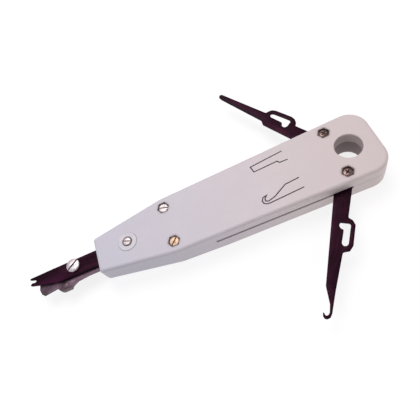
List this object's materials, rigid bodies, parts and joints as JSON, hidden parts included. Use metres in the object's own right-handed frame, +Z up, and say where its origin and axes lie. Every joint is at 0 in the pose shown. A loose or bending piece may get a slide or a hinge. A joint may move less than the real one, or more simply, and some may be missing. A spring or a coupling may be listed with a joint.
{
  "type": "insertion and punch down hand tool",
  "caption": "Long flat tapered hand tool with a sprung forked blade and wire cutter at the nose, a fold-out hook and knife, and a hanging hole.",
  "frame": {"origin": "on the axis of the hanging hole, in the plane of the flat underside", "axes": "+X along the handle towards its rear, so the nose points to -X; +Y towards the knife side; +Z up out of the marked face"},
  "size_m": [0.1792, 0.1324, 0.0158],
  "materials": {
    "handle_plastic": "satin",
    "blackened_steel": "blackened",
    "cutter_steel": "tarnished",
    "carrier_steel": "satin",
    "bright_steel": "satin",
    "dark_screw": "satin",
    "brass_screw": "satin",
    "spring_steel": "satin",
    "dial_plastic": "satin"
  },
  "bodies": {
    "handle": {"upper_shell": "handle_plastic", "lower_shell": "handle_plastic", "cam_plate": "carrier_steel", "spring_seat": "carrier_steel", "drive_spring": "spring_steel", "front_screw_left": "bright_steel", "front_nut_left": "bright_steel", "pivot_screw_left": "dark_screw", "pivot_nut_left": "bright_steel", "pivot_bush_left": "bright_steel", "pivot_washer_left": "spring_steel", "front_screw_right": "brass_screw", "front_nut_right": "bright_steel", "pivot_screw_right": "dark_screw", "pivot_nut_right": "bright_steel", "pivot_bush_right": "bright_steel", "pivot_washer_right": "spring_steel"},
    "nose_slide": {"insertion_blade": "blackened_steel", "blade_carrier": "carrier_steel", "tang_pins": "bright_steel", "nose_screw": "bright_steel", "nose_nut": "bright_steel", "nose_washer": "bright_steel"},
    "cutter": {"cutter_jaw": "cutter_steel", "cam_follower": "bright_steel"},
    "hook": {"hook_blade": "blackened_steel"},
    "knife": {"knife_blade": "blackened_steel"},
    "lock": {"lock_dial": "dial_plastic", "lock_screw": "bright_steel", "lock_cam": "carrier_steel"}
  },
  "joints": [
    {"name": "nose_push", "type": "slide", "parent": "handle", "child": "nose_slide", "axis": [1, 0, 0], "range_m": [0, 0.004], "stiffness_N_per_m": 6000, "deforming": ["drive_spring"]},
    {"name": "cutter_pivot", "type": "hinge", "parent": "nose_slide", "child": "cutter", "pos_m": [-0.1419, 0.002, 0.00775], "axis": [0, 0, 1], "range_deg": [-8, 0]},
    {"name": "hook_pivot", "type": "hinge", "parent": "handle", "child": "hook", "pos_m": [-0.0065, -0.012, 0.009], "axis": [0, 0, 1], "range_deg": [-57, 0]},
    {"name": "knife_pivot", "type": "hinge", "parent": "handle", "child": "knife", "pos_m": [-0.0065, 0.012, 0.009], "axis": [0, 0, 1], "range_deg": [0, 56]},
    {"name": "lock_turn", "type": "hinge", "parent": "handle", "child": "lock", "pos_m": [-0.1116, 0, 0.015], "axis": [0, 0, 1], "range_deg": [0, 90]}
  ],
  "couplings": [
    {"joint": "cutter_pivot", "follows": "nose_push", "rad_per_m": -34.907}
  ]
}
